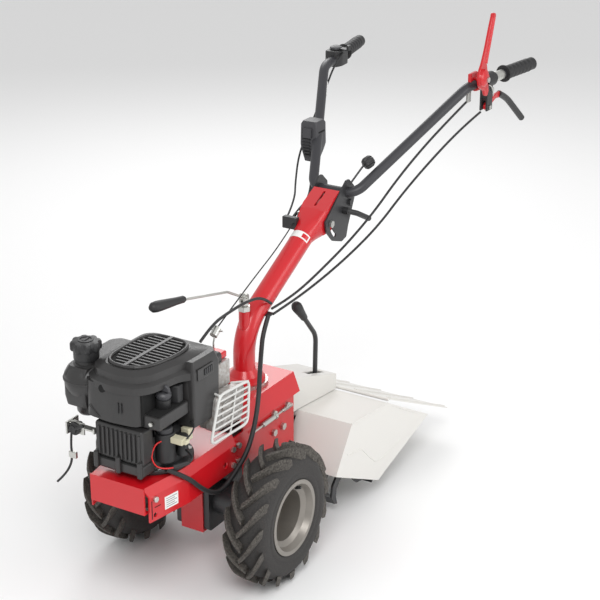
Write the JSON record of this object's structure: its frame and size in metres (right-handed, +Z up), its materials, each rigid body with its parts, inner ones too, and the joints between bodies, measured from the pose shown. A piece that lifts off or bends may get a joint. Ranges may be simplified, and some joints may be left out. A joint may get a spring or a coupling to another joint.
{
  "type": "walk-behind tractor with rotary tiller",
  "caption": "Walk-behind tractor: front petrol engine on a folded frame, cleated wheels, swivelling column with tilting handlebars, and a rear rotary tiller under a hinged hood.",
  "frame": {"origin": "on the ground, at the middle of the whole length and width", "axes": "+Z up, +Y towards the operator (rear), -Y towards the engine (front), +X to the operator's left; row in metres"},
  "size_m": [0.5572, 1.5308, 1.14],
  "materials": {
    "red_paint": "gloss",
    "cream_paint": "satin",
    "charcoal_paint": "satin",
    "black_paint": "gloss",
    "zinc": "zinc plated",
    "steel": "machined",
    "cast_alloy": "as cast",
    "rim_silver": "satin",
    "exhaust": "matte",
    "wire_white": "satin",
    "shroud_plastic": "satin",
    "black_plastic": "matte",
    "grey_plastic": "matte",
    "tyre_rubber": "matte",
    "black_rubber": "matte",
    "cast_iron": "as cast"
  },
  "bodies": {
    "chassis": {"engine_deck": "red_paint", "rear_frame": "red_paint", "slew_ring": "zinc", "gear_case": "black_paint", "frame_bolts": "zinc", "crankcase": "cast_alloy", "cylinder": "cast_alloy", "rocker_cover": "black_plastic", "blower_housing": "shroud_plastic", "cooling_grille": "black_plastic", "fuel_tank": "black_plastic", "air_filter_cover": "black_plastic", "muffler": "exhaust", "muffler_guard": "wire_white", "throttle_bracket": "zinc", "rope_guide": "zinc", "drive_belt": "black_rubber", "tiller_gear_case": "cast_alloy", "tiller_hood": "cream_paint", "tiller_cover": "cream_paint", "column_cables": "black_rubber"},
    "crank": {"crankshaft": "steel", "flywheel": "cast_alloy", "drive_pulley": "cast_iron"},
    "input_drive": {"input_shaft": "steel", "driven_pulley": "cast_iron"},
    "axle_gear": {"axle_worm_wheel": "cast_iron"},
    "take_off": {"pto_shaft": "steel"},
    "wheels": {"axle_shaft": "steel", "left_rim": "rim_silver", "right_rim": "rim_silver", "left_tyre": "tyre_rubber", "right_tyre": "tyre_rubber"},
    "rotor": {"rotor_shaft": "steel", "tines": "black_paint"},
    "rotor_worm": {"tiller_worm": "steel"},
    "dog_sleeve": {"dog_clutch": "steel"},
    "tiller_lever": {"engage_lever": "black_paint", "engage_knob": "black_plastic"},
    "belt_idler": {"idler": "steel"},
    "flap": {"rear_flap": "cream_paint"},
    "column_arm": {"column": "red_paint", "head_bolt": "zinc"},
    "lock_bolt": {"lock_rod": "zinc"},
    "lock_handle": {"lock_lever": "zinc", "lock_grip": "black_rubber"},
    "bars": {"clamp_plates": "black_paint", "handlebar": "charcoal_paint", "grips": "black_rubber", "control_clamps": "black_paint", "switch_box": "black_plastic", "bar_cables": "black_rubber"},
    "tilt_handle": {"clamp_handle": "black_plastic"},
    "drive_hand_lever": {"drive_lever": "red_paint"},
    "clutch_hand_lever": {"clutch_lever": "black_paint"},
    "throttle_thumb": {"throttle_lever": "black_plastic"},
    "start_button": {"switch_rocker": "grey_plastic"},
    "pull_handle": {"starter_handle": "black_plastic"},
    "tank_cap": {"fuel_cap": "black_plastic"},
    "oil_filler_cap": {"oil_cap": "black_plastic"}
  },
  "joints": [
    {"name": "crank_spin", "type": "hinge", "parent": "chassis", "child": "crank", "pos_m": [0, -0.63335, 0.4], "axis": [0, 0, 1], "continuous": true},
    {"name": "input_spin", "type": "hinge", "parent": "chassis", "child": "input_drive", "pos_m": [0, -0.38535, 0.2], "axis": [0, 0, 1], "continuous": true},
    {"name": "axle_gear_spin", "type": "hinge", "parent": "chassis", "child": "axle_gear", "pos_m": [0, -0.43335, 0.166], "axis": [1, 0, 0], "continuous": true},
    {"name": "take_off_spin", "type": "hinge", "parent": "chassis", "child": "take_off", "pos_m": [0, -0.28335, 0.191], "axis": [0, 1, 0], "continuous": true},
    {"name": "axle_spin", "type": "hinge", "parent": "chassis", "child": "wheels", "pos_m": [0, -0.43335, 0.166], "axis": [1, 0, 0], "continuous": true},
    {"name": "rotor_spin", "type": "hinge", "parent": "chassis", "child": "rotor", "pos_m": [0, -0.04335, 0.118], "axis": [1, 0, 0], "continuous": true},
    {"name": "rotor_worm_spin", "type": "hinge", "parent": "chassis", "child": "rotor_worm", "pos_m": [0, -0.04335, 0.191], "axis": [0, 1, 0], "continuous": true},
    {"name": "dog_slide", "type": "slide", "parent": "rotor_worm", "child": "dog_sleeve", "axis": [0, -1, 0], "range_m": [0, 0.0102]},
    {"name": "tiller_lever_turn", "type": "hinge", "parent": "chassis", "child": "tiller_lever", "pos_m": [0.027, 0.01865, 0.262], "axis": [-1, 0, 0], "range_deg": [0, 18]},
    {"name": "idler_swing", "type": "hinge", "parent": "chassis", "child": "belt_idler", "pos_m": [-0.072, -0.46535, 0.31], "axis": [0, 0, 1], "range_deg": [0, 8.1]},
    {"name": "flap_turn", "type": "hinge", "parent": "chassis", "child": "flap", "pos_m": [0, 0.07965, 0.242], "axis": [1, 0, 0], "range_deg": [0, 70]},
    {"name": "column_swivel", "type": "hinge", "parent": "chassis", "child": "column_arm", "pos_m": [0, -0.26335, 0.42], "axis": [0, 0, 1], "range_deg": [-30, 30], "deforming": ["column_cables"]},
    {"name": "lock_bolt_slide", "type": "slide", "parent": "column_arm", "child": "lock_bolt", "axis": [0, 0, -1], "range_m": [0, 0.003]},
    {"name": "lock_handle_turn", "type": "hinge", "parent": "lock_bolt", "child": "lock_handle", "pos_m": [0, -0.26035, 0.594], "axis": [-1, 0, 0], "range_deg": [0, 75]},
    {"name": "bar_tilt", "type": "hinge", "parent": "column_arm", "child": "bars", "pos_m": [0, 0.13565, 0.697], "axis": [1, 0, 0], "range_deg": [-35, 0], "deforming": ["bar_cables"]},
    {"name": "tilt_handle_turn", "type": "hinge", "parent": "bars", "child": "tilt_handle", "pos_m": [0.048, 0.13565, 0.697], "axis": [-1, 0, 0], "range_deg": [0, 90]},
    {"name": "drive_lever_turn", "type": "hinge", "parent": "bars", "child": "drive_hand_lever", "pos_m": [0.241, 0.48365, 0.98], "axis": [-1, 0, 0], "range_deg": [0, 60], "stiffness_Nm_per_rad": 1, "springref_deg": -34.38},
    {"name": "clutch_lever_turn", "type": "hinge", "parent": "bars", "child": "clutch_hand_lever", "pos_m": [0.223, 0.55165, 0.891], "axis": [1, 0, 0], "range_deg": [0, 20], "stiffness_Nm_per_rad": 2, "springref_deg": -28.65},
    {"name": "throttle_lever_turn", "type": "hinge", "parent": "bars", "child": "throttle_thumb", "pos_m": [-0.22613, 0.55719, 0.99251], "axis": [0, 0, 1], "range_deg": [0, 60]},
    {"name": "start_button_press", "type": "slide", "parent": "bars", "child": "start_button", "axis": [0, 1, 0], "range_m": [0, 0.0025], "stiffness_N_per_m": 300, "springref_m": -0.004},
    {"name": "pull_handle_slide", "type": "slide", "parent": "bars", "child": "pull_handle", "axis": [0.4004, 0.8243, 0.4004], "range_m": [0, 0.04], "stiffness_N_per_m": 60, "springref_m": -0.05},
    {"name": "tank_cap_turn", "type": "hinge", "parent": "chassis", "child": "tank_cap", "pos_m": [-0.12, -0.69535, 0.6], "axis": [0, 0, 1], "range_deg": [0, 90]},
    {"name": "oil_cap_turn", "type": "hinge", "parent": "chassis", "child": "oil_filler_cap", "pos_m": [0.066, -0.67735, 0.5234], "axis": [0.1129, -0.0645, 0.9915], "range_deg": [0, 90]}
  ],
  "couplings": [
    {"joint": "input_spin", "follows": "crank_spin", "ratio": 0.58333},
    {"joint": "axle_gear_spin", "follows": "crank_spin", "ratio": -0.024306},
    {"joint": "take_off_spin", "follows": "crank_spin", "ratio": -0.58333},
    {"joint": "rotor_worm_spin", "follows": "rotor_spin", "ratio": 30},
    {"joint": "dog_slide", "follows": "tiller_lever_turn", "m_per_rad": 0.0318},
    {"joint": "idler_swing", "follows": "drive_lever_turn", "ratio": 0.1333},
    {"joint": "lock_bolt_slide", "follows": "lock_handle_turn", "m_per_rad": 0.00228}
  ]
}
